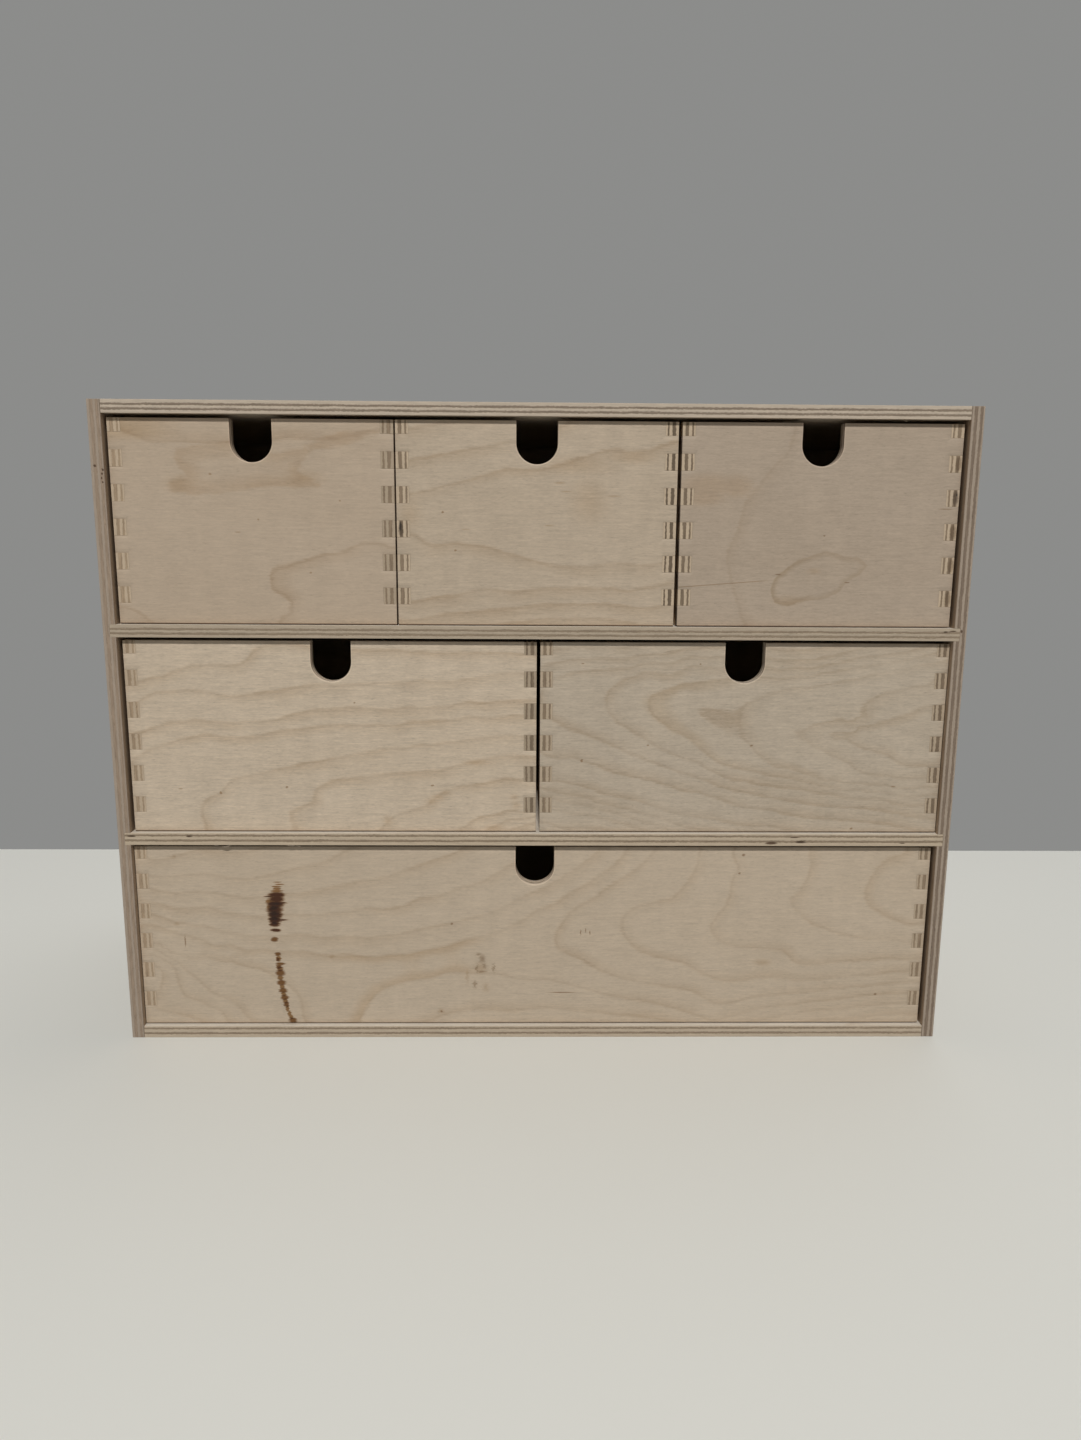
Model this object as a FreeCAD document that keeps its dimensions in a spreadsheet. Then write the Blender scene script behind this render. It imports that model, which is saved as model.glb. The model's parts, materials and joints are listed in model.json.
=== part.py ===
import FreeCAD, Part

import math
import os

import Sketcher

# Mini chest of drawers in birch plywood, made to stand on a desk or a shelf.
# The case has two full-height sides. Its top and bottom butt between them, the ends of its two
# shelves are housed in dados, and a thin back sits in a groove all round. Six finger-jointed
# drawers, three over two over one, slide on the boards below them and have no runners or stops.
# Millimetres, +Z up, front towards -Y, +X to the right seen from the front, origin at the middle
# of the base.

SIZES = (
    ("case_width", 420.0, "outside width of the case"),
    ("case_depth", 180.0, "outside depth of the case"),
    ("case_height", 320.0, "outside height of the case"),
    ("panel_thickness", 6.2, "five-ply board of the case"),
    ("shelf_housing", 3.0, "depth of the dado that takes a shelf end"),
    ("back_thickness", 3.0, "three-ply board of the back"),
    ("back_housing", 3.0, "depth of the groove that takes the back"),
    ("back_inset", 5.0, "distance from the back to the rear edges of the case"),
    ("wall_thickness", 6.2, "five-ply board of the drawers"),
    ("front_recess", 3.0, "distance from a drawer front to the front edges of the case"),
    ("side_gap", 0.9, "play beside a drawer that rests in the middle of its share of the bay"),
    ("slide_gap", 0.2, "running clearance under a drawer"),
    ("head_gap", 1.7, "play above a drawer"),
    ("rear_gap", 1.0, "play behind a drawer"),
    ("foot_knuckle", 10.0, "height of the lowest knuckle of a drawer's front and back"),
    ("finger_height", 8.0, "height of every other finger and socket"),
    ("slot_width", 19.6, "width of the finger slot, twice the radius of its foot"),
    ("slot_depth", 20.0, "depth of the finger slot"),
    ("floor_thickness", 3.0, "three-ply board of a drawer floor"),
    ("floor_rise", 4.0, "height of a drawer floor above the lower edges of its drawer"),
    ("floor_housing", 3.0, "depth of the groove that takes a drawer floor"),
    ("cut_overrun", 2.0, "distance that a cut runs past the edge it opens"),
)

# Each row of drawers from the bottom up: the name of each drawer from left to right, with the
# share of its side gap by which it rests off the middle, as the gaps in the photograph show.
ROWS_WITH_REST_SHARES = (
    (("drawer_bottom", -0.7),),
    (("drawer_middle_left", 0.7), ("drawer_middle_right", 0.7)),
    (("drawer_top_left", 0.4), ("drawer_top_centre", -0.7), ("drawer_top_right", -0.7)),
)
ROW_COUNT = len(ROWS_WITH_REST_SHARES)

doc = FreeCAD.newDocument("mini_drawers")
sheet = doc.addObject("Spreadsheet::Sheet", "sizes")
for line, (alias, size, meaning) in enumerate(SIZES, start=1):
    sheet.set("A%d" % line, meaning)
    sheet.set("B%d" % line, str(size))
    sheet.setAlias("B%d" % line, alias)
doc.recompute()

# Expressions worked out from the sheet, each for one place or size of the case
BAY_WIDTH = "(sizes.case_width - 2 * sizes.panel_thickness)"
BAY_HEIGHT = "((sizes.case_height - %d * sizes.panel_thickness) / %d)" % (ROW_COUNT + 1, ROW_COUNT)
CASE_FRONT = "(-sizes.case_depth / 2)"
BACK_FACE = "(sizes.case_depth / 2 - sizes.back_inset - sizes.back_thickness)"
BACK_LOW = "(sizes.panel_thickness - sizes.back_housing)"
BACK_WIDTH = "(%s + 2 * sizes.back_housing)" % BAY_WIDTH
BACK_HEIGHT = "(sizes.case_height - 2 * %s)" % BACK_LOW
SHELF_DEPTH = "(%s - %s)" % (BACK_FACE, CASE_FRONT)

# The same for the drawers
DRAWER_HEIGHT = "(%s - sizes.slide_gap - sizes.head_gap)" % BAY_HEIGHT
DRAWER_DEPTH = "(%s - sizes.front_recess - sizes.rear_gap)" % SHELF_DEPTH
DRAWER_FRONT = "(%s + sizes.front_recess)" % CASE_FRONT
INNER_DEPTH = "(%s - 2 * sizes.wall_thickness)" % DRAWER_DEPTH
FINGER_PITCH = "(2 * sizes.finger_height)"


class Board:
    """One flat piece of plywood: a rectangle padded to its thickness, with cuts in it."""

    made = []

    def __init__(self, name, plane, thickness, outline, backwards=False):
        """Pad the outline from one of the body's origin planes, backwards for the far side."""
        self.body = doc.addObject("PartDesign::Body", name)
        self.body.Label = name
        self.plane = plane
        self.backwards = backwards
        self.cuts = []
        self.pad = self.body.newObject("PartDesign::Pad", name + "_board")
        self.pad.Profile = self.sketch("outline", [outline])
        self.pad.Reversed = backwards
        self.pad.setExpression("Length", thickness)
        self.last = self.pad
        Board.made.append(self)

    def sketch(self, title, outlines, draw=None):
        """Make a sketch on the body's own plane and draw the outlines on it."""
        planes = self.body.Origin.OriginFeatures
        sketch = self.body.newObject("Sketcher::SketchObject", self.body.Name + "_" + title)
        sketch.AttachmentSupport = (next(p for p in planes if p.Role == self.plane), [""])
        sketch.MapMode = "FlatFace"
        for outline in outlines:
            draw_rectangle(sketch, outline)
        if draw:
            draw(sketch)
        sketch.Visibility = False
        return sketch

    def cut(self, title, outlines=(), depth=None, draw=None):
        """Cut outlines into the board from its plane, to a depth or right through."""
        profile = self.sketch(title + "_outline", outlines, draw)
        pocket = self.body.newObject("PartDesign::Pocket", self.body.Name + "_" + title)
        pocket.Profile = profile
        pocket.Reversed = not self.backwards
        if depth:
            pocket.setExpression("Length", depth)
        else:
            pocket.Type = "ThroughAll"
        self.cuts.append((self.last, pocket))
        self.last = pocket
        return pocket

    def repeat(self, pocket, pitch, count):
        """Repeat a cut up the board."""
        pattern = self.body.newObject("PartDesign::LinearPattern", pocket.Name + "_row")
        pattern.Originals = [pocket]
        pattern.Direction = (pocket.Profile[0], ["V_Axis"])
        pattern.Mode = "Spacing"
        pattern.setExpression("Offset", pitch)
        pattern.setExpression("Occurrences", count)
        self.body.Tip = pattern
        self.cuts.append((pocket, pattern))
        self.last = pattern

    def place(self, across, along, up):
        """Place the board's own origin in the chest."""
        for axis, distance in (("x", across), ("y", along), ("z", up)):
            self.body.setExpression("Placement.Base." + axis, distance)


def draw_rectangle(sketch, outline):
    """Draw a rectangle given by its left and lower edges, its width and its height."""
    left, low, width, height = outline
    corners = [FreeCAD.Vector(x, y, 0) for x, y in ((0, 0), (1, 0), (1, 1), (0, 1))]
    edges = [
        sketch.addGeometry(Part.LineSegment(start, end))
        for start, end in zip(corners, corners[1:] + corners[:1])
    ]
    lower, right, upper, leftmost = edges
    for edge, following in zip(edges, edges[1:] + edges[:1]):
        sketch.addConstraint(Sketcher.Constraint("Coincident", edge, 2, following, 1))
    for edge in (lower, upper):
        sketch.addConstraint(Sketcher.Constraint("Horizontal", edge))
    for edge in (leftmost, right):
        sketch.addConstraint(Sketcher.Constraint("Vertical", edge))
    bind(sketch, "DistanceX", (-1, 1, lower, 1), left)
    bind(sketch, "DistanceY", (-1, 1, lower, 1), low)
    bind(sketch, "DistanceX", (lower, 1, lower, 2), width)
    bind(sketch, "DistanceY", (right, 1, right, 2), height)


def bind(sketch, kind, points, distance, drawn=1):
    """Add a dimension to a sketch, as drawn, and bind it to an expression."""
    constraint = sketch.addConstraint(Sketcher.Constraint(kind, *points, drawn))
    sketch.setExpression("Constraints[%d]" % constraint, distance)


def draw_finger_slot(sketch):
    """Draw the slot: straight sides that open at the drawer's top edge and a half-round foot."""
    radius = sheet.slot_width / 2
    reach = sheet.slot_depth
    circle = Part.Circle(FreeCAD.Vector(0, reach, 0), FreeCAD.Vector(0, 0, 1), radius)
    foot = sketch.addGeometry(Part.ArcOfCircle(circle, math.pi, 2 * math.pi))
    corners = [
        FreeCAD.Vector(x, y, 0)
        for x, y in ((radius, reach), (radius, 2 * reach), (-radius, 2 * reach), (-radius, reach))
    ]
    right, mouth, left = [
        sketch.addGeometry(Part.LineSegment(start, end))
        for start, end in zip(corners, corners[1:])
    ]
    sketch.addConstraint(Sketcher.Constraint("Tangent", foot, 2, right, 1))
    sketch.addConstraint(Sketcher.Constraint("Coincident", right, 2, mouth, 1))
    sketch.addConstraint(Sketcher.Constraint("Coincident", mouth, 2, left, 1))
    sketch.addConstraint(Sketcher.Constraint("Tangent", left, 2, foot, 1))
    sketch.addConstraint(Sketcher.Constraint("Vertical", right))
    sketch.addConstraint(Sketcher.Constraint("Vertical", left))
    sketch.addConstraint(Sketcher.Constraint("Horizontal", mouth))
    sketch.addConstraint(Sketcher.Constraint("PointOnObject", foot, 3, -2))
    foot_height = "%s - sizes.slot_depth + sizes.slot_width / 2" % DRAWER_HEIGHT
    mouth_height = "%s + sizes.cut_overrun" % DRAWER_HEIGHT
    bind(sketch, "Radius", (foot,), "sizes.slot_width / 2", radius)
    bind(sketch, "DistanceY", (-1, 1, foot, 3), foot_height, reach)
    bind(sketch, "DistanceY", (-1, 1, mouth, 1), mouth_height, 2 * reach)


def shelf_height(row):
    """Give the height of the board that a row of drawers slides on."""
    return "(sizes.panel_thickness + %d * (%s + sizes.panel_thickness))" % (row, BAY_HEIGHT)


def make_case_side(name, place, backwards):
    """Full-height side: a dado for each shelf and a groove for the back in its inner face."""
    side = Board(
        name,
        "YZ_Plane",
        "sizes.panel_thickness",
        (CASE_FRONT, "0", "sizes.case_depth", "sizes.case_height"),
        backwards,
    )
    dados = [
        (
            "%s - sizes.cut_overrun" % CASE_FRONT,
            "%s - sizes.panel_thickness" % shelf_height(row),
            "%s + sizes.cut_overrun" % SHELF_DEPTH,
            "sizes.panel_thickness",
        )
        for row in range(1, ROW_COUNT)
    ]
    side.cut("dados", dados, "sizes.shelf_housing")
    groove = (BACK_FACE, BACK_LOW, "sizes.back_thickness", BACK_HEIGHT)
    side.cut("groove", [groove], "sizes.back_housing")
    side.place(place, "0", "0")


def make_case_end(name, height, backwards):
    """Top or bottom of the case: butts between the sides, with a groove for the back."""
    end = Board(
        name,
        "XY_Plane",
        "sizes.panel_thickness",
        ("-%s / 2" % BAY_WIDTH, CASE_FRONT, BAY_WIDTH, "sizes.case_depth"),
        backwards,
    )
    groove = (
        "-%s / 2 - sizes.cut_overrun" % BAY_WIDTH,
        BACK_FACE,
        "%s + 2 * sizes.cut_overrun" % BAY_WIDTH,
        "sizes.back_thickness",
    )
    end.cut("groove", [groove], "sizes.back_housing")
    end.place("0", "0", height)


def make_shelf(name, row):
    """Shelf under a row of drawers: its ends reach into the dados, its rear edge to the back."""
    width = "(%s + 2 * sizes.shelf_housing)" % BAY_WIDTH
    shelf = Board(
        name,
        "XY_Plane",
        "sizes.panel_thickness",
        ("-%s / 2" % width, CASE_FRONT, width, SHELF_DEPTH),
        backwards=True,
    )
    shelf.place("0", "0", shelf_height(row))


def make_case_back():
    """Thin back, let into the sides, top and bottom on all four edges."""
    back = Board(
        "case_back",
        "XZ_Plane",
        "sizes.back_thickness",
        ("-%s / 2" % BACK_WIDTH, "0", BACK_WIDTH, BACK_HEIGHT),
        backwards=True,
    )
    back.place("0", BACK_FACE, BACK_LOW)


def make_drawer_end(name, width, centre, inner_face, low, is_front):
    """Front or back of a drawer: knuckles on both ends, a stopped groove inside for the floor.

    The foot knuckle is the tallest. It covers the ends of the grooves in the drawer's sides.
    """
    end = Board(
        name,
        "XZ_Plane",
        "sizes.wall_thickness",
        ("-%s / 2" % width, "0", width, DRAWER_HEIGHT),
        backwards=not is_front,
    )
    socket_width = "sizes.wall_thickness + sizes.cut_overrun"
    sockets = [
        (left, "sizes.foot_knuckle", socket_width, "sizes.finger_height")
        for left in (
            "-%s / 2 - sizes.cut_overrun" % width,
            "%s / 2 - sizes.wall_thickness" % width,
        )
    ]
    first_socket = end.cut("sockets", sockets)
    end.repeat(
        first_socket,
        FINGER_PITCH,
        "ceil((%s - sizes.foot_knuckle) / %s)" % (DRAWER_HEIGHT, FINGER_PITCH),
    )
    floor_width = floor_span(width)
    groove = ("-%s / 2" % floor_width, "sizes.floor_rise", floor_width, "sizes.floor_thickness")
    end.cut("groove", [groove], "sizes.floor_housing")
    if is_front:
        end.cut("finger_slot", draw=draw_finger_slot)
    end.place(centre, inner_face, low)


def make_drawer_side(name, inner_face, low, backwards):
    """Side of a drawer: fingers on both ends and a groove along it for the floor."""
    side = Board(
        name,
        "YZ_Plane",
        "sizes.wall_thickness",
        ("-%s / 2" % DRAWER_DEPTH, "0", DRAWER_DEPTH, DRAWER_HEIGHT),
        backwards,
    )
    socket_width = "sizes.wall_thickness + sizes.cut_overrun"
    ends = (
        "-%s / 2 - sizes.cut_overrun" % DRAWER_DEPTH,
        "%s / 2 - sizes.wall_thickness" % DRAWER_DEPTH,
    )
    feet = [
        (end, "-sizes.cut_overrun", socket_width, "sizes.foot_knuckle + sizes.cut_overrun")
        for end in ends
    ]
    side.cut("foot_sockets", feet)
    above_first_finger = "sizes.foot_knuckle + sizes.finger_height"
    sockets = [(end, above_first_finger, socket_width, "sizes.finger_height") for end in ends]
    first_socket = side.cut("sockets", sockets)
    side.repeat(
        first_socket,
        FINGER_PITCH,
        "ceil((%s - (%s)) / %s)" % (DRAWER_HEIGHT, above_first_finger, FINGER_PITCH),
    )
    groove = ("-%s / 2" % DRAWER_DEPTH, "sizes.floor_rise", DRAWER_DEPTH, "sizes.floor_thickness")
    side.cut("groove", [groove], "sizes.floor_housing")
    side.place(inner_face, "%s + %s / 2" % (DRAWER_FRONT, DRAWER_DEPTH), low)


def floor_span(width):
    """Give the width of the floor of a drawer, let into both of its sides."""
    return "(%s - 2 * (sizes.wall_thickness - sizes.floor_housing))" % width


def make_drawer(name, row, place, count, rest_share):
    """Put five boards together as a drawer in its share of the bay."""
    centre_share = (2 * place + 1 - count) / (2 * count)
    centre = "(%s * %r + sizes.side_gap * %r)" % (BAY_WIDTH, centre_share, rest_share)
    width = "(%s / %d - 2 * sizes.side_gap)" % (BAY_WIDTH, count)
    low = "(%s + sizes.slide_gap)" % shelf_height(row)
    half_opening = "(%s / 2 - sizes.wall_thickness)" % width
    front_inner_face = "(%s + sizes.wall_thickness)" % DRAWER_FRONT
    back_inner_face = "(%s + %s)" % (front_inner_face, INNER_DEPTH)
    make_drawer_end(name + "_front", width, centre, front_inner_face, low, is_front=True)
    make_drawer_end(name + "_back", width, centre, back_inner_face, low, is_front=False)
    left_inner_face = "%s - %s" % (centre, half_opening)
    right_inner_face = "%s + %s" % (centre, half_opening)
    make_drawer_side(name + "_side_left", left_inner_face, low, backwards=True)
    make_drawer_side(name + "_side_right", right_inner_face, low, backwards=False)
    floor_depth = "(%s + 2 * sizes.floor_housing)" % INNER_DEPTH
    floor_width = floor_span(width)
    floor = Board(
        name + "_floor",
        "XY_Plane",
        "sizes.floor_thickness",
        ("-%s / 2" % floor_width, "-%s / 2" % floor_depth, floor_width, floor_depth),
    )
    floor.place(
        centre,
        "%s + %s / 2" % (DRAWER_FRONT, DRAWER_DEPTH),
        "%s + sizes.floor_rise" % low,
    )


make_case_side("case_side_left", "-%s / 2" % BAY_WIDTH, backwards=True)
make_case_side("case_side_right", "%s / 2" % BAY_WIDTH, backwards=False)
make_case_end("case_top", "sizes.case_height - sizes.panel_thickness", backwards=False)
make_case_end("case_bottom", "sizes.panel_thickness", backwards=True)
make_shelf("shelf_lower", 1)
make_shelf("shelf_upper", 2)
make_case_back()
for row, drawers in enumerate(ROWS_WITH_REST_SHARES):
    for place, (name, rest_share) in enumerate(drawers):
        make_drawer(name, row, place, len(drawers), rest_share)

doc.recompute()

# Nothing is written unless every object is sound and every cut has removed wood
for thing in doc.Objects:
    if "Invalid" in thing.State or "Error" in thing.State:
        raise RuntimeError("%s failed: %s" % (thing.Name, thing.State))
for board in Board.made:
    shape = board.body.Shape
    if shape.isNull() or not shape.isValid() or len(shape.Solids) != 1:
        raise RuntimeError("%s is not one sound solid" % board.body.Label)
    for before, after in board.cuts:
        if not after.Shape.Volume < before.Shape.Volume:
            raise RuntimeError("%s cuts nothing" % after.Name)

os.makedirs("parts", exist_ok=True)
for board in Board.made:
    board.body.Shape.exportStep(os.path.join("parts", board.body.Label + ".step"))
print("%d boards written" % len(Board.made))
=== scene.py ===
# A small chest of six drawers that stands on a desk. It is made of thin birch plywood, sanded and left bare:
# five-ply board for the case and the drawer boxes, three-ply board for the back and the drawer floors.
import json
import math

import bmesh
import bpy
import numpy as np
from mathutils import Matrix, Vector

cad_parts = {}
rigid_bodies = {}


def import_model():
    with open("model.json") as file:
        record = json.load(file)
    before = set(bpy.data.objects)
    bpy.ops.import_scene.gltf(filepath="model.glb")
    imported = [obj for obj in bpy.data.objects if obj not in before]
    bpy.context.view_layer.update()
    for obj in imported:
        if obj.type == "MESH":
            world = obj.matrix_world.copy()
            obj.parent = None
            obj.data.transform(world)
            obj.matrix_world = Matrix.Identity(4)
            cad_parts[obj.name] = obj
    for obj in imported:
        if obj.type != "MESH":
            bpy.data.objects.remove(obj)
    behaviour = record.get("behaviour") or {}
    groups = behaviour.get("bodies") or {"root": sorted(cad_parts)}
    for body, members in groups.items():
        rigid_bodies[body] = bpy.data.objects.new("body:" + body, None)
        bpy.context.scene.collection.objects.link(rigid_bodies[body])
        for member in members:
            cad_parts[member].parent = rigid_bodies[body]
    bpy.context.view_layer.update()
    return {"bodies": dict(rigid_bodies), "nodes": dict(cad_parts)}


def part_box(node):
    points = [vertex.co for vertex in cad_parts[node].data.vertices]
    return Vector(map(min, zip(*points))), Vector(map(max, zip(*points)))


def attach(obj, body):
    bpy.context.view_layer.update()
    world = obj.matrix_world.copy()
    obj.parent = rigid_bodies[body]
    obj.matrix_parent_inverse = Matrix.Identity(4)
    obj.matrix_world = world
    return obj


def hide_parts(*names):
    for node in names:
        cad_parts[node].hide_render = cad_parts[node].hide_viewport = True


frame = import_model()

MM = 0.001


# The picture: the chest seen squarely from the front, from a little under its top, with the camera half
# a metre away and tipped down. The lens is the wide one of a phone.
PICTURE_HEIGHT = 1440
FOCAL_LENGTH_PIXELS = 999.7
SENSOR = 36.0
EYE = Vector((-5.8, -575.7, 259.4)) * MM
TURNED_RIGHT, TIPPED_DOWN, ROLLED = 0.0155, 0.1835, -0.0064

lens = bpy.data.cameras.new("camera")
lens.sensor_width = SENSOR
lens.lens = FOCAL_LENGTH_PIXELS / PICTURE_HEIGHT * SENSOR
lens.clip_start = 0.01
camera = bpy.data.objects.new("camera", lens)
bpy.context.scene.collection.objects.link(camera)
ahead = Vector((math.sin(TURNED_RIGHT) * math.cos(TIPPED_DOWN),
                math.cos(TURNED_RIGHT) * math.cos(TIPPED_DOWN), -math.sin(TIPPED_DOWN)))
level = Vector((math.cos(TURNED_RIGHT), -math.sin(TURNED_RIGHT), 0.0))
down = ahead.cross(level)
right = math.cos(ROLLED) * level + math.sin(ROLLED) * down
up = math.sin(ROLLED) * level - math.cos(ROLLED) * down
camera.matrix_world = Matrix.Translation(EYE) @ Matrix((right, up, -ahead)).transposed().to_4x4()
bpy.context.scene.camera = camera
bpy.context.scene.view_settings.view_transform = "Standard"


# The surroundings: a pale floor that ends a little behind the chest, a round lamp far in front and high up,
# and a wide faint one high up behind. The light from all round is grey behind, dim in front, and brightest
# from below, as it comes off a pale table top.
FLOOR_HALF, FLOOR_BEHIND = 3.0, 0.226
PALE_FLOOR = (0.80, 0.80, 0.76, 1.0)
LAMP_PLACE, LAMP_WIDTH, LAMP_WATTS = (0.05, -3.95, 4.7), 0.40, 231.0
CEILING_PLACE, CEILING_WIDTH, CEILING_WATTS = (0.5, 0.9, 2.4), 1.8, 8.0
GREY_BEHIND = (0.262, 0.263, 0.257, 1.0)
DIM_IN_FRONT = (0.14, 0.14, 0.136, 1.0)
FROM_BELOW = (0.31, 0.31, 0.298, 1.0)


def round_lamp(name, place, aim, width, watts, colour):
    lamp = bpy.data.lights.new(name, "AREA")
    lamp.shape = "DISK"
    lamp.size = width
    lamp.energy = watts
    lamp.color = colour
    holder = bpy.data.objects.new(name, lamp)
    bpy.context.scene.collection.objects.link(holder)
    holder.location = place
    holder.rotation_euler = (Vector(aim) - Vector(place)).to_track_quat("-Z", "Y").to_euler()


round_lamp("lamp", LAMP_PLACE, (0.0, -0.05, 0.15), LAMP_WIDTH, LAMP_WATTS, (1.0, 0.99, 0.965))
round_lamp("ceiling", CEILING_PLACE, (0.0, 0.0, 0.1), CEILING_WIDTH, CEILING_WATTS, (1.0, 0.99, 0.97))

world = bpy.data.worlds.new("grey light")
world.use_nodes = True
sky = world.node_tree


def share_past(value, start, end):
    """How far a value has come from start to end, as a smooth share of 1."""
    made = sky.nodes.new("ShaderNodeMapRange")
    made.interpolation_type = "SMOOTHSTEP"
    made.inputs["From Min"].default_value = start
    made.inputs["From Max"].default_value = end
    sky.links.new(value, made.inputs["Value"])
    return made.outputs[0]


way = sky.nodes.new("ShaderNodeSeparateXYZ")
sky.links.new(sky.nodes.new("ShaderNodeTexCoord").outputs["Generated"], way.inputs[0])
in_front = sky.nodes.new("ShaderNodeMix")
in_front.data_type = "RGBA"
sky.links.new(share_past(way.outputs[2], -0.1, 0.1), in_front.inputs[0])
in_front.inputs[6].default_value = FROM_BELOW
in_front.inputs[7].default_value = DIM_IN_FRONT
all_round = sky.nodes.new("ShaderNodeMix")
all_round.data_type = "RGBA"
sky.links.new(share_past(way.outputs[1], -0.15, 0.15), all_round.inputs[0])
sky.links.new(in_front.outputs[2], all_round.inputs[6])
all_round.inputs[7].default_value = GREY_BEHIND
sky.links.new(all_round.outputs[2], sky.nodes["Background"].inputs["Color"])
bpy.context.scene.world = world

ground_mesh = bpy.data.meshes.new("pale_floor")
ground_mesh.from_pydata([(-FLOOR_HALF, -FLOOR_HALF, 0), (FLOOR_HALF, -FLOOR_HALF, 0),
                         (FLOOR_HALF, FLOOR_BEHIND, 0), (-FLOOR_HALF, FLOOR_BEHIND, 0)], [], [(0, 1, 2, 3)])
ground = bpy.data.objects.new("pale_floor", ground_mesh)
bpy.context.scene.collection.objects.link(ground)
pale = bpy.data.materials.new("pale_floor")
pale.use_nodes = True
pale_shader = pale.node_tree.nodes["Principled BSDF"]
pale_shader.inputs["Base Color"].default_value = PALE_FLOOR
pale_shader.inputs["Roughness"].default_value = 0.55
ground_mesh.materials.append(pale)
ground.visible_diffuse = False


# The case sides: two upright five-ply boards, their face veneers running up and down, grooved across for
# the two shelves and down for the back. Their cut edges show the plies. Glued, with no fasteners.
SIDE_PLIES = (1.35, 2.85, 4.15, 5.4, 6.2)
BARE_BIRCH = (0.66, 0.53, 0.39)
BROKEN_EDGE = 0.16 * MM
SAME_POINT = 0.001 * MM
SHARP = math.radians(35)
AXES = "xyz"


class Finish:
    """The surface of one kind of board, put together from the look of its wood."""

    def __init__(self, name):
        self.material = bpy.data.materials.new(name)
        self.material.use_nodes = True
        self.tree = self.material.node_tree
        self.tree.nodes.clear()

    def node(self, kind, inputs=(), **settings):
        made = self.tree.nodes.new("ShaderNode" + kind)
        for name, value in settings.items():
            setattr(made, name, value)
        for socket, value in dict(inputs).items():
            if isinstance(value, bpy.types.NodeSocket):
                self.tree.links.new(value, made.inputs[socket])
            else:
                made.inputs[socket].default_value = value
        return made

    def sum(self, operation, *values):
        return self.node("Math", enumerate(values), operation=operation).outputs[0]

    def both(self, first, *others):
        """The product of amounts, so that all of them have to be there."""
        for other in others:
            first = self.sum("MULTIPLY", first, other)
        return first

    def fade(self, value, start, end):
        """0 up to start, 1 from end on, and smooth between them; start may be the larger."""
        return self.node("MapRange", {"Value": value, "From Min": start, "From Max": end},
                         interpolation_type="SMOOTHSTEP").outputs[0]

    def tint(self, amount, under, over, how="MIX"):
        mixed = self.node("Mix", {0: amount, 6: under, 7: over}, data_type="RGBA", blend_type=how)
        return mixed.outputs[2]

    def shade(self, wood, amount, colour):
        """The wood multiplied by a colour, where amount is 1."""
        return self.tint(amount, wood, rgba(colour), "MULTIPLY")

    def uneven(self, place, sizes, detail=3.0, roughness=0.5, layer=0.0):
        """Noise from 0 to 1 with patches of about these sizes in millimetres."""
        squeezed = self.node("VectorMath", {0: place, 1: [1 / size for size in sizes]}, operation="MULTIPLY")
        made = self.node("TexNoise", {"Vector": squeezed.outputs[0], "W": layer, "Scale": 1.0,
                                      "Detail": detail, "Roughness": roughness}, noise_dimensions="4D")
        return made.outputs[0]

    def frayed(self, value, noise, amount):
        """A value that noise moves by up to half of amount either way."""
        return self.sum("MULTIPLY_ADD", self.sum("SUBTRACT", noise, 0.5), amount, value)

    def carried(self, name):
        """A number that the board's own points carry."""
        return self.node("Attribute", attribute_name=name).outputs["Fac"]


def rgba(colour, share=1.0):
    return [channel * share for channel in colour] + [1.0]


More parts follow.
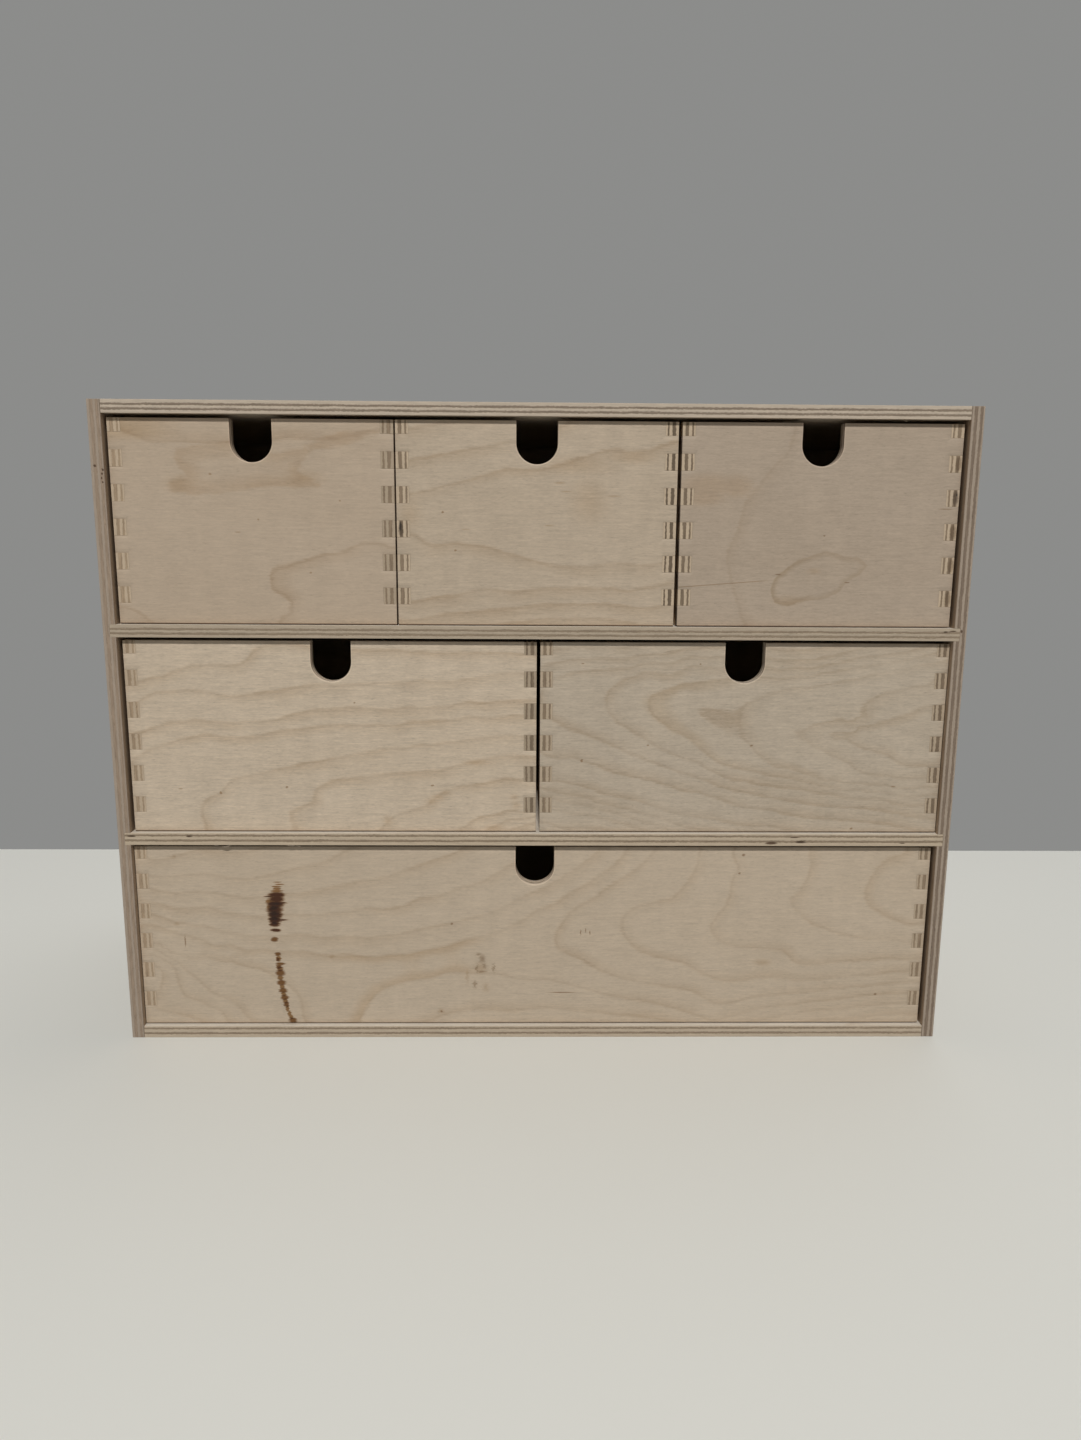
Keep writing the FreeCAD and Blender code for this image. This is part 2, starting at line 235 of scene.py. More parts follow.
def birch(name, thick, grain, plies, from_high=False, cut=(0.92, 0.92, 0.93), end_shade=0.54,
          colour=BARE_BIRCH, ring_width=22.0, line=0.3, figure=1.0, growth=None, corner=(0.0, 0.0, 0.0),
          marks=None):
    """Sanded birch plywood. thick is the axis through the board and grain the way its face veneers run.
    plies is the depth of each glue line and of the far face, in millimetres from the low face, or from the
    high one. cut is how much of the face's colour shows on a ply cut along the grain, and end_shade how much
    of that on one cut across it. line and figure are how strongly the growth rings and the fibres show.
    growth gives the growth rings' number and width at a point, and marks adds what is on this board alone,
    by its place in millimetres from corner."""
    finish = Finish(name)
    across = AXES.replace(thick, "").replace(grain, "")
    where = finish.node("TexCoord")
    millimetres = finish.node("VectorMath", {0: where.outputs["Object"], 1: [1 / MM] * 3},
                              operation="MULTIPLY")
    split = finish.node("SeparateXYZ", {0: millimetres.outputs[0]})
    share = finish.node("SeparateXYZ", {0: where.outputs["Generated"]})
    facing = finish.node("SeparateXYZ", {0: where.outputs["Normal"]})
    along, over, through = (split.outputs[AXES.index(axis)] for axis in (grain, across, thick))
    place = finish.node("CombineXYZ", {0: along, 1: over, 2: through}).outputs[0]
    depth = finish.sum("MULTIPLY", share.outputs[AXES.index(thick)], plies[-1])
    if from_high:
        depth = finish.sum("SUBTRACT", plies[-1], depth)
    flat = finish.fade(finish.sum("ABSOLUTE", facing.outputs[AXES.index(thick)]), 0.75, 0.95)
    end_on = finish.fade(finish.sum("ABSOLUTE", facing.outputs[AXES.index(grain)]), 0.4, 0.7)

    # growth rings, cut nearly flat as the veneer was peeled, so that they wander over the face
    wander = finish.uneven(place, (8.0, 3.0, 9.0), detail=3.0, layer=3.0)
    feather = finish.uneven(place, (7.0, 0.5, 6.0), detail=3.0, roughness=0.6, layer=4.0)
    wander = finish.frayed(finish.both(finish.sum("SUBTRACT", feather, 0.5), 4.0), wander, 2.0)
    if growth is None:
        swell = finish.uneven(place, (240.0, 55.0, 4.0), detail=1.5, roughness=0.35, layer=1.0)
        slope = finish.sum("DIVIDE", over, 2.2 * ring_width)
        ring = finish.sum("MULTIPLY_ADD", swell, 7.0, slope)
        width = ring_width
    else:
        ring, width = growth(finish)
    ring = finish.sum("ADD", ring, finish.sum("DIVIDE", wander, width))
    grown = finish.sum("FRACT", ring)
    past_line = finish.sum("MULTIPLY", grown, width)
    before_line = finish.sum("MULTIPLY", finish.sum("SUBTRACT", 1.0, grown), width)
    away = finish.sum("MINIMUM", past_line, before_line)
    strength = finish.fade(finish.uneven(place, (40.0, 14.0, 30.0), layer=5.0), 0.32, 0.68)
    spread = finish.fade(finish.uneven(place, (50.0, 18.0, 30.0), detail=2.0, layer=6.0), 0.34, 0.66)
    dark_line = finish.both(finish.fade(away, 1.3, 0.05),
                            finish.sum("MULTIPLY_ADD", strength, 0.60 * line, 0.25 * line))
    late_wood = finish.sum("MAXIMUM", finish.fade(past_line, 6.5, 0.3), finish.fade(before_line, 1.8, 0.2))
    late_wood = finish.both(late_wood, finish.sum("MULTIPLY_ADD", spread, 1.3 * line, 0.35 * line))

    # the wood itself: clouds, long fibres and short dark vessels
    cloud = finish.uneven(place, (95.0, 28.0, 60.0), detail=2.0, layer=7.0)
    ripple = finish.uneven(place, (9.0, 34.0, 9.0), detail=2.0, layer=11.0)
    fleck = finish.uneven(place, (7.0, 1.1, 5.0), detail=3.0, roughness=0.6, layer=9.0)
    fibres = finish.uneven(place, (18.0, 0.6, 8.0), detail=5.0, roughness=0.6, layer=13.0)
    speckle = finish.uneven(place, (2.4, 0.55, 3.0), detail=2.0, roughness=0.6, layer=15.0)
    vessel = finish.fade(finish.uneven(place, (2.6, 0.24, 5.0), detail=1.0, layer=17.0), 0.62, 0.78)
    red, green, blue = colour
    face = finish.tint(cloud, rgba(colour, 1.04), rgba([red * 0.95, green * 0.93, blue * 0.90]))
    face = finish.shade(face, late_wood, (0.87, 0.82, 0.76))
    face = finish.shade(face, dark_line, (0.68, 0.61, 0.53))
    light = 1.03 - 0.36 * figure
    for part, amount in ((fibres, 0.20), (ripple, 0.10), (fleck, 0.22), (speckle, 0.20), (vessel, -0.12)):
        light = finish.sum("MULTIPLY_ADD", part, amount * figure, light)
    face = finish.node("VectorMath", {0: face, "Scale": light}, operation="SCALE").outputs[0]

    # the cut edges: face and core plies run one way, the cross plies between them the other
    waver = finish.uneven(place, (13.0, 13.0, 2.5), detail=4.0, layer=19.0)
    fuzz = finish.uneven(place, (1.5, 1.5, 0.6), detail=2.0, layer=21.0)
    deep = finish.frayed(finish.frayed(depth, waver, 0.9), fuzz, 1.0)
    crossed = 0.0
    glue = 0.0
    for number, line_depth in enumerate(plies[:-1]):
        past = finish.fade(deep, line_depth - 0.2, line_depth + 0.2)
        crossed = finish.sum("ADD" if number % 2 == 0 else "SUBTRACT", crossed, past)
        from_glue = finish.sum("ABSOLUTE", finish.sum("SUBTRACT", deep, line_depth))
        glue = finish.sum("MAXIMUM", glue, finish.fade(from_glue, 0.2, 0.02))
    end_grain = finish.sum("ABSOLUTE", finish.sum("SUBTRACT", crossed, end_on))
    streaks = finish.uneven(place, (7.0, 7.0, 0.45), detail=4.0, roughness=0.6, layer=23.0)
    gaps = finish.fade(finish.uneven(place, (3.4, 3.4, 0.5), detail=1.0, layer=31.0), 0.72, 0.78)
    gaps = finish.both(gaps, finish.fade(end_grain, 0.5, 1.0))
    pits = finish.uneven(place, (0.4, 0.4, 0.4), detail=2.0, layer=29.0)
    long_cut = [channel * shade for channel, shade in zip(colour, cut)]
    end_cut = [channel * shade * end_shade for channel, shade in zip(long_cut, (1.03, 0.96, 0.90))]
    edge = finish.tint(end_grain, rgba(long_cut), rgba(end_cut))
    edge = finish.shade(edge, finish.both(glue, 0.25), (0.60, 0.52, 0.44))
    rough_cut = finish.sum("MULTIPLY_ADD", end_grain, 0.22, 0.20)
    edge_light = finish.frayed(1.0, streaks, finish.both(rough_cut, 3.0))
    edge_light = finish.frayed(edge_light, pits, rough_cut)
    edge_light = finish.sum("SUBTRACT", edge_light, finish.both(gaps, 0.55))
    edge = finish.node("VectorMath", {0: edge, "Scale": edge_light}, operation="SCALE").outputs[0]
    wood = finish.tint(flat, edge, face)
    if marks is not None:
        from_corner = finish.node("VectorMath", {0: millimetres.outputs[0], 1: corner},
                                  operation="SUBTRACT")
        from_front = finish.fade(facing.outputs[1], -0.75, -0.95)
        wood = marks(finish, wood, from_corner.outputs[0], from_front)

    # how rough it is to the touch and to the light
    sanded = finish.sum("MULTIPLY_ADD", fibres, 0.16, finish.sum("MULTIPLY_ADD", vessel, 0.12, 0.50))
    roughness = finish.node("Mix", {0: flat, 2: 0.82, 3: sanded}, data_type="FLOAT").outputs[0]
    face_relief = finish.sum("SUBTRACT", finish.sum("MULTIPLY_ADD", dark_line, 0.4, fibres), vessel)
    edge_relief = finish.sum("SUBTRACT", finish.sum("MULTIPLY_ADD", streaks, 2.0, pits),
                             finish.sum("ADD", finish.sum("MULTIPLY_ADD", end_grain, 0.8, glue), gaps))
    relief = finish.node("Mix", {0: flat, 2: edge_relief, 3: face_relief}, data_type="FLOAT").outputs[0]
    bump = finish.node("Bump", {"Strength": 0.6, "Distance": 0.08 * MM, "Height": relief})
    shader = finish.node("BsdfPrincipled", {"Base Color": wood, "Roughness": roughness,
                                            "Normal": bump.outputs[0], "IOR": 1.45})
    finish.node("OutputMaterial", {"Surface": shader.outputs[0]})
    return finish.material


def finish_board(node, material, broken=BROKEN_EDGE):
    """Gives a board its wood, and breaks its sharp edges as a pass of sandpaper does."""
    board = frame["nodes"][node]
    board.data.materials.clear()
    board.data.materials.append(material)
    weld = board.modifiers.new("one skin", "WELD")
    weld.merge_threshold = SAME_POINT
    rounded = board.modifiers.new("broken edges", "BEVEL")
    rounded.width = broken
    rounded.segments = 2
    rounded.limit_method = "ANGLE"
    rounded.angle_limit = SHARP
    rounded.use_clamp_overlap = False
    smooth = board.modifiers.new("even shading", "WEIGHTED_NORMAL")
    smooth.keep_sharp = True
    for face in board.data.polygons:
        face.use_smooth = True
    return board


def spotted(finish, wood, place, from_front, shade, spots, ragged=0.25, core=0.55):
    """The wood with spots on its front, where its colour is multiplied by shade. Each spot is its place
    (x, z) and its half width and half height, in millimetres, and its rim is ragged by about this many.
    core is the share of the half width that has the full shade."""
    stirred = finish.node("VectorMath", {0: place, 1: (0.35, 0.35, 1.4)}, operation="MULTIPLY")
    stir = finish.node("TexNoise", {"Vector": stirred.outputs[0], "Scale": 1.0, "Detail": 3.0})
    stir = finish.node("VectorMath", {0: stir.outputs["Color"], 1: (0.5, 0.5, 0.5)}, operation="SUBTRACT")
    stir = finish.node("VectorMath", {0: stir.outputs[0], 1: (6.0 * ragged, 0.0, ragged), 2: place},
                       operation="MULTIPLY_ADD")
    nearest = 9.0
    for x, z, half_width, half_height in spots:
        rounded = finish.node("VectorMath", {0: stir.outputs[0], 1: (1 / half_width, 0.0, 1 / half_height)},
                              operation="MULTIPLY")
        apart = finish.node("VectorMath", {0: rounded.outputs[0], 1: (x / half_width, 0.0, z / half_height)},
                            operation="DISTANCE")
        nearest = finish.sum("MINIMUM", nearest, apart.outputs["Value"])
    return finish.shade(wood, finish.both(finish.fade(nearest, 1.75 - core, core), from_front), shade)


def torn_fibres_and_recess_shade(finish, wood, place, from_front):
    """Small dark pits in the sides' front edges, where the saw tore the cross plies. The strips of the inner
    faces in front of the drawers, in the recess, are darkened with painted shade."""
    reach = finish.node("SeparateXYZ", {0: place})
    # Painted shade: the inner faces' strips in the recess in front of the drawers are darkened, where little
    # light reaches.
    inner = finish.both(finish.fade(finish.sum("ABSOLUTE", reach.outputs[0]), 204.3, 203.9),
                        finish.fade(reach.outputs[1], -74.0, -86.0))
    wood = finish.shade(wood, inner, (0.60, 0.56, 0.54))
    return spotted(finish, wood, place, from_front, (0.30, 0.24, 0.20), (
        (-208.1, 289.8, 0.7, 0.7), (-204.6, 288.0, 0.6, 0.7), (-205.0, 286.2, 0.5, 0.6),
        (-205.3, 284.2, 0.4, 0.7), (-205.0, 282.3, 0.5, 0.5), (207.4, 214.0, 0.6, 0.9),
        (205.4, 211.2, 1.2, 0.25)), ragged=0.15)


for side, end_shade in (("case_side_left", 0.84), ("case_side_right", 0.56)):
    upright = birch(side + "_birch", "x", "z", SIDE_PLIES, cut=(0.68, 0.68, 0.72), end_shade=end_shade,
                    ring_width=19.0, marks=torn_fibres_and_recess_shade)
    finish_board(side, upright)


# The top, the bottom and the two shelves: level boards of the same five-ply, grain from side to side. The
# top and the bottom are butted between the sides; the shelves are housed in them. Their faces are paler than
# the sides', and the core of the shelves has a few gaps.
UPPER_PLIES = (1.4, 2.35, 3.6, 4.5, 6.2)
LOWER_PLIES = (1.8, 2.8, 4.5, 5.4, 6.2)
# Painted light: the level boards' faces are given paler, less orange colours than the uprights, as they face
# up into the lamp.
PALE_BIRCH, PALE_LIT_BIRCH = (0.70, 0.59, 0.46), (0.68, 0.62, 0.54)


def core_gaps(finish, wood, place, from_front):
    return spotted(finish, wood, place, from_front, (0.22, 0.17, 0.14), (
        (-203.5, 109.2, 2.6, 0.5), (-174.5, 109.2, 1.7, 0.5), (119.2, 106.1, 3.4, 0.8),
        (134.0, 106.7, 3.0, 0.65), (131.0, 109.1, 2.8, 0.3), (186.0, 106.2, 1.8, 0.3),
        (199.7, 213.7, 1.2, 0.4), (203.2, 214.1, 1.8, 0.3)))


for board, plies, colour, cut, end_shade in (
        ("case_top", UPPER_PLIES, PALE_BIRCH, (0.90, 0.89, 0.90), 0.44),
        ("shelf_upper", UPPER_PLIES, PALE_LIT_BIRCH, (0.78, 0.70, 0.60), 0.60),
        ("shelf_lower", LOWER_PLIES, PALE_LIT_BIRCH, (0.91, 0.81, 0.68), 0.50),
        ("case_bottom", LOWER_PLIES, PALE_LIT_BIRCH, (0.91, 0.81, 0.69), 0.54)):
    lying = birch(board + "_birch", "z", "x", plies, cut=cut, end_shade=end_shade, colour=colour,
                  ring_width=24.0, marks=core_gaps)
    finish_board(board, lying)


# Splinters along the lower edges of the lower shelf and of the top, lifted by the saw: each is a thin curled
# sliver of the face veneer, still held at one end.
SPLINTER_THICKNESS = 0.12


def splinter(points, width):
    """The corners and faces of one sliver along these points, in millimetres: widest a third of the way
    along, and drawn out to a point at both ends."""
    corners = [points[0]]
    for number, (x, y, z) in enumerate(points[1:-1], 1):
        half = width / 2 * math.sin(math.pi * (number / (len(points) - 1)) ** 0.7)
        corners += [(x, y - half, z), (x, y, z + SPLINTER_THICKNESS), (x, y + half, z),
                    (x, y, z - SPLINTER_THICKNESS)]
    corners.append(points[-1])
    last = len(corners) - 1
    faces = []
    for turn in range(4):
        following = (turn + 1) % 4
        faces.append((0, 1 + following, 1 + turn))
        for start in range(1, last - 4, 4):
            faces.append((start + turn, start + following, start + 4 + following, start + 4 + turn))
        faces.append((last - 4 + turn, last - 4 + following, last))
    return corners, faces


corners, faces = [], []
for points, width in (
        (((-153.6, -89.6, 104.8), (-154.6, -89.4, 104.3), (-155.8, -89.2, 103.7), (-157.1, -89.0, 103.3),
          (-158.4, -88.9, 103.3), (-159.2, -88.9, 103.6)), 0.9),
        (((-152.8, -89.3, 104.7), (-154.2, -89.0, 104.0), (-155.6, -88.7, 103.5),
          (-156.4, -88.6, 103.4)), 0.5),
        (((-163.0, -89.7, 104.7), (-161.8, -89.6, 104.3), (-160.4, -89.5, 104.2),
          (-159.6, -89.5, 104.4)), 0.4),
        (((-126.5, -89.7, 104.7), (-124.8, -89.6, 104.2), (-122.6, -89.5, 104.1),
          (-120.4, -89.6, 104.6)), 0.5),
        (((-121.8, -89.6, 104.7), (-120.6, -89.4, 104.1), (-119.2, -89.3, 103.8),
          (-118.4, -89.3, 103.9)), 0.5),
        (((-113.2, -89.7, 104.7), (-113.4, -89.5, 104.2), (-113.8, -89.4, 103.8),
          (-114.0, -89.4, 103.7)), 0.4),
        (((171.4, -89.7, 313.9), (172.2, -89.5, 313.5), (173.0, -89.3, 313.0), (174.3, -89.2, 312.6)), 0.35)):
    slivers, sides = splinter(points, width)
    faces += [[len(corners) + corner for corner in side] for side in sides]
    corners += slivers
lifted = bpy.data.meshes.new("case_splinters")
lifted.from_pydata([Vector(corner) * MM for corner in corners], [], faces)
lifted.validate()
lifted.shade_smooth()
lifted.materials.append(birch("splinter_birch", "z", "x", (0.2, 0.4), colour=(0.74, 0.62, 0.48)))
splinters = bpy.data.objects.new("case_splinters", lifted)
bpy.context.scene.collection.objects.link(splinters)
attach(splinters, "case")


# The back: one sheet of three-ply birch, its face veneers running from side to side. It is let into grooves
# in the sides, the top and the bottom and glued, with no fasteners.
THREE_PLY = (0.9, 2.1, 3.0)
back_ply = birch("back_birch", "y", "x", THREE_PLY, ring_width=34.0)
finish_board("case_back", back_ply)


# The drawer boxes: sides and backs of five-ply, finger-jointed and glued at all four corners, round a floor
# of three-ply that lies in grooves. The sides' face veneers run up and down, so that the finger ends in the
# front show them as pale stripes. Dark glue has dried on a few of the finger ends, and one chipped finger end
# of the top centre drawer has painted shade in its hollow.
FINGER_EDGE = 0.12 * MM
DRAWER_PLIES = (1.4, 3.0, 4.45, 5.25, 6.2)
# How much of the wood's colour shows on the pale stripes, and how much of that on the dark ones, of each
# drawer's left side and of its right side.
SIDE_STRIPES = {"drawer_bottom": ((0.94, 0.72), (0.84, 0.58)),
                "drawer_middle_left": ((0.90, 0.70), (0.70, 0.50)),
                "drawer_middle_right": ((0.84, 0.52), (0.82, 0.42)),
                "drawer_top_left": ((0.95, 0.70), (0.76, 0.60)),
                "drawer_top_centre": ((0.96, 0.46), (0.98, 0.26)),
                "drawer_top_right": ((0.96, 0.36), (0.97, 0.46))}


def glue_and_chip_shade(finish, wood, place, from_front):
    """Glue in the finger ends at the right of the top right drawer, and painted shade in the hollow of a
    chipped finger end of the top centre one.
    """
    wood = spotted(finish, wood, place, from_front, (0.62, 0.58, 0.54), (
        (200.7, 293.7, 1.6, 4.0), (200.5, 261.6, 1.9, 4.2), (200.7, 245.6, 1.6, 4.0),
        (200.5, 229.6, 1.9, 4.2)), ragged=0.2)
    # The spots at x -65.7 and -66.0 are painted shade in the hollow of a chipped finger end of the top centre
    # drawer; the rest are glue.
    wood = spotted(finish, wood, place, from_front, (0.44, 0.42, 0.41), (
        (200.5, 277.7, 1.5, 4.2), (-65.7, 261.6, 1.3, 4.0)), ragged=0.2)
    return spotted(finish, wood, place, from_front, (0.36, 0.38, 0.42), (
        (-66.0, 262.8, 0.6, 2.4), (201.0, 279.2, 0.5, 0.5)), ragged=0.2)


drawers = [body for body in frame["bodies"] if body.startswith("drawer_")]
rear_wood = birch("drawer_back_birch", "y", "x", DRAWER_PLIES, from_high=True, ring_width=21.0)
floor_wood = birch("drawer_floor_birch", "z", "x", THREE_PLY, ring_width=30.0)
for drawer in drawers:
    for side, (pale, end_shade) in zip(("_side_left", "_side_right"), SIDE_STRIPES[drawer]):
        wood = birch(drawer + side + "_birch", "x", "z", DRAWER_PLIES, from_high=side == "_side_right",
                     cut=(pale, 0.985 * pale, 0.96 * pale), end_shade=end_shade, ring_width=17.0,
                     marks=glue_and_chip_shade)
        finish_board(drawer + side, wood, FINGER_EDGE)
    finish_board(drawer + "_back", rear_wood, FINGER_EDGE)
    finish_board(drawer + "_floor", floor_wood, FINGER_EDGE)


# The drawer fronts: the same five-ply, finger-jointed over the sides, each with a finger slot with a
# half-round foot, its rim rubbed rounder than the other edges. Their veneers were picked for the face, and
# each has its own growth rings.
CELL = 3.0 * MM
SLOT_WIDTH, SLOT_DEPTH = 19.6 * MM, 20.0 * MM
SLOT_EDGE, FOOT_EDGE = 0.4 * MM, 0.3 * MM
HAIR = 0.01 * MM


def sharp_edges(shape):
    return [edge for edge in shape.edges if len(edge.link_faces) == 2 and edge.calc_face_angle() > SHARP]


def break_edges(shape, edges, width, steps):
    bmesh.ops.bevel(shape, geom=edges, offset=width, segments=steps, profile=0.5, affect="EDGES",
                    clamp_overlap=True)


def on_slot_rim(edge, low, high):
    """Whether an edge lies on the rim of the finger slot, on either face of the front."""
    ends = [vertex.co for vertex in edge.verts]
    middle = (low.x + high.x) / 2
    return (all(abs(end.x - middle) < SLOT_WIDTH / 2 + HAIR for end in ends)
            and all(end.z > high.z - SLOT_DEPTH - HAIR for end in ends)
            and any(end.z < high.z - HAIR for end in ends) and abs(ends[0].y - ends[1].y) < HAIR)


def front_mesh(node):
    """A front's own shape, its edges broken and its faces cut into cells that can carry the growth rings."""
    shape = bmesh.new()
    shape.from_mesh(frame["nodes"][node].data)
    bmesh.ops.remove_doubles(shape, verts=shape.verts, dist=SAME_POINT)
    bmesh.ops.dissolve_limit(shape, angle_limit=math.radians(1), verts=shape.verts, edges=shape.edges)
    low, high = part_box(node)
    rim = [edge for edge in sharp_edges(shape) if on_slot_rim(edge, low, high)]
    break_edges(shape, rim, SLOT_EDGE, 3)
    foot = [edge for edge in sharp_edges(shape)
            if all(vertex.co.z < low.z + HAIR and vertex.co.y < low.y + HAIR for vertex in edge.verts)]
    break_edges(shape, foot, FOOT_EDGE, 2)
    break_edges(shape, sharp_edges(shape), FINGER_EDGE, 2)
    for axis in (0, 2):
        count = round((high[axis] - low[axis]) / CELL)
        for step in range(1, count):
            point = Vector()
            point[axis] = low[axis] + (high[axis] - low[axis]) * step / count
            normal = Vector()
            normal[axis] = 1.0
            bmesh.ops.bisect_plane(shape, geom=shape.verts[:] + shape.edges[:] + shape.faces[:],
                                   plane_co=point, plane_no=normal)
    mesh = bpy.data.meshes.new(node)
    shape.to_mesh(mesh)
    shape.free()
    for name in ("custom_normal", "UVMap"):
        if name in mesh.attributes:
            mesh.attributes.remove(mesh.attributes[name])
    mesh.shade_smooth()
    mesh.set_sharp_from_angle(angle=math.radians(25))
    return mesh


def spread_rings(rings, places):
    """A smooth sheet laid over the rings' points, not quite through them: how many rings deep each place
    lies."""
    give = 4.0
    known = np.array([point for _, points in rings for point in points], float)
    numbers = np.array([number for number, points in rings for _ in points], float)

    def bend(a, b):
        apart = ((a[:, None, :] - b[None, :, :]) ** 2).sum(2)
        return apart * np.log(apart + 1e-9)

    count = len(known)
    plane = np.column_stack([np.ones(count), known])
    whole = np.zeros((count + 3, count + 3))
    whole[:count, :count] = bend(known, known) + give * np.eye(count)
    whole[:count, count:] = plane
    whole[count:, :count] = plane.T
    weights = np.linalg.solve(whole, np.append(numbers, [0.0, 0.0, 0.0]))
    level = np.column_stack([np.ones(len(places)), places])
    return bend(places, known) @ weights[:count] + level @ weights[count:]


def inside_by(outline, places):
    """How far inside a closed outline each place lies, in millimetres; less than 0 outside it."""
    corners = np.array(outline, float)
    nearest = np.full(len(places), 1e9)
    inside = np.zeros(len(places), bool)
    for here, there in zip(corners, np.roll(corners, -1, axis=0)):
        side = there - here
        share = np.clip((places - here) @ side / (side @ side), 0.0, 1.0)
        nearest = np.minimum(nearest, np.linalg.norm(places - here - share[:, None] * side, axis=1))
        between = (here[1] > places[:, 1]) != (there[1] > places[:, 1])
        crossing = here[0] + (places[:, 1] - here[1]) * side[0] / (side[1] if side[1] else 1.0)
        inside ^= between & (places[:, 0] < crossing)
    return np.where(inside, nearest, -nearest)


def growth_from_board(finish):
    return finish.carried("ring"), finish.carried("ring_width")


def painted_slot_highlight_and_foot_shadow(finish, wood, place, centre, height):
    """The wood with a painted highlight along the rim of the finger slot, and painted shadow along the lower
    edge, on which the drawer slides. centre and height are the slot's middle and the front's top, in
    millimetres from the corner."""
    radius = SLOT_WIDTH / MM / 2
    reach = finish.node("SeparateXYZ", {0: place})
    beside = finish.sum("SUBTRACT", reach.outputs[0], centre)
    turn = height - SLOT_DEPTH / MM + radius
    below = finish.sum("MINIMUM", finish.sum("SUBTRACT", reach.outputs[2], turn), 0.0)
    away = finish.sum("SQRT", finish.sum("ADD", finish.both(beside, beside), finish.both(below, below)))
    # Painted highlight: the slot's rim is made paler, where its broken edge catches the lamp.
    rim = finish.fade(finish.sum("ABSOLUTE", finish.sum("SUBTRACT", away, radius + 0.15)), 0.55, 0.2)
    wood = finish.shade(wood, rim, (1.22, 1.22, 1.22))
    # Painted shadow: the lowest part of the front is darkened, standing in for the shade in the gap under the
    # drawer.
    return finish.shade(wood, finish.fade(reach.outputs[2], 0.75, 0.25), (0.30, 0.24, 0.20))


def make_front(drawer, rings, colour, line, figure, marks, stain=None):
    """One drawer front. rings holds pairs of a ring's number and its points, in millimetres from the front's
    lower left corner; a number between two rings keeps plain wood plain. stain is the outline of a stained
    patch."""
    node = drawer + "_front"
    mesh = front_mesh(node)
    low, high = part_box(node)
    spots = np.array([vertex.co for vertex in mesh.vertices])
    places = (spots[:, (0, 2)] - np.array((low.x, low.z))) / MM
    step, narrowest, widest = 0.5, 4.0, 45.0
    ring = spread_rings(rings, places)
    slope_x = (spread_rings(rings, places + (step, 0.0)) - ring) / step
    slope_z = (spread_rings(rings, places + (0.0, step)) - ring) / step
    width = np.clip(1 / np.maximum(np.hypot(slope_x, slope_z), 1e-6), narrowest, widest)
    # the inner face has plain level rings, with a slow wave
    inner = spots[:, 1] > (low.y + high.y) / 2
    ring[inner] = places[inner, 1] / 21 + 0.7 * np.sin(places[inner, 0] / 70 + places[inner, 1] / 35)
    width[inner] = 18.0
    carried = [("ring", ring), ("ring_width", width)]
    if stain is not None:
        carried.append(("stain", inside_by(stain, places)))
    for name, values in carried:
        mesh.attributes.new(name, "FLOAT", "POINT").data.foreach_set("value", values.astype(np.float32))
    board = bpy.data.objects.new(node + "_board", mesh)
    bpy.context.scene.collection.objects.link(board)

    def edges_and_marks(finish, wood, place, from_front):
        wood = painted_slot_highlight_and_foot_shadow(finish, wood, place, (high.x - low.x) / 2 / MM, (high.z - low.z) / MM)
        return marks(finish, wood, place, from_front)

    mesh.materials.append(birch(node + "_birch", "y", "x", DRAWER_PLIES, colour=colour, line=line,
                                figure=figure, growth=growth_from_board, corner=tuple(low / MM),
                                marks=edges_and_marks))
    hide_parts(node)
    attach(board, drawer)


# Each front's colour is partly its veneer's own tone and partly painted shade: the top fronts are made darker
# than the others, standing in for the light falling off towards the top of the chest.
# Top left front: a plain face with a brown cloud round the slot, a faint ring over it, and one that turns
# back low on the right.
def brown_cloud(finish, wood, place, from_front):
    inside = finish.frayed(finish.carried("stain"), finish.uneven(place, (6.0, 3.0, 2.0), layer=37.0), 4.0)
    patchy = finish.sum("MULTIPLY_ADD", finish.uneven(place, (16.0, 9.0, 5.0), layer=39.0), 1.2, 0.1)
    soft = finish.both(finish.fade(inside, -0.8, 1.2), finish.fade(inside, 10.0, 1.0))
    wood = finish.shade(wood, finish.both(soft, patchy, from_front), (0.88, 0.82, 0.75))
    reach = finish.node("SeparateXYZ", {0: place})
    corner = finish.both(finish.fade(reach.outputs[0], 40.0, 14.0), finish.fade(reach.outputs[2], 84.0, 90.0))
    wood = finish.shade(wood, finish.both(corner, from_front), (0.93, 0.88, 0.80))
    wood = spotted(finish, wood, place, from_front, (0.93, 0.89, 0.83), (
        (32, 66, 6.0, 3.5), (91, 69, 8.0, 3.5)), ragged=1.5, core=0.0)
    wood = spotted(finish, wood, place, from_front, (1.10, 1.10, 1.10), (
        (113, 76.6, 2.4, 0.2), (117, 78.2, 3.0, 0.2), (122, 79.4, 2.6, 0.2), (126, 81.4, 2.0, 0.2)),
        ragged=0.1)
    return spotted(finish, wood, place, from_front, (0.74, 0.65, 0.56), (
        (47, 71, 0.8, 0.6), (69, 50, 0.6, 0.5), (93, 25, 0.6, 0.5), (59, 44, 1.6, 0.25), (108, 59, 0.5, 0.5)))


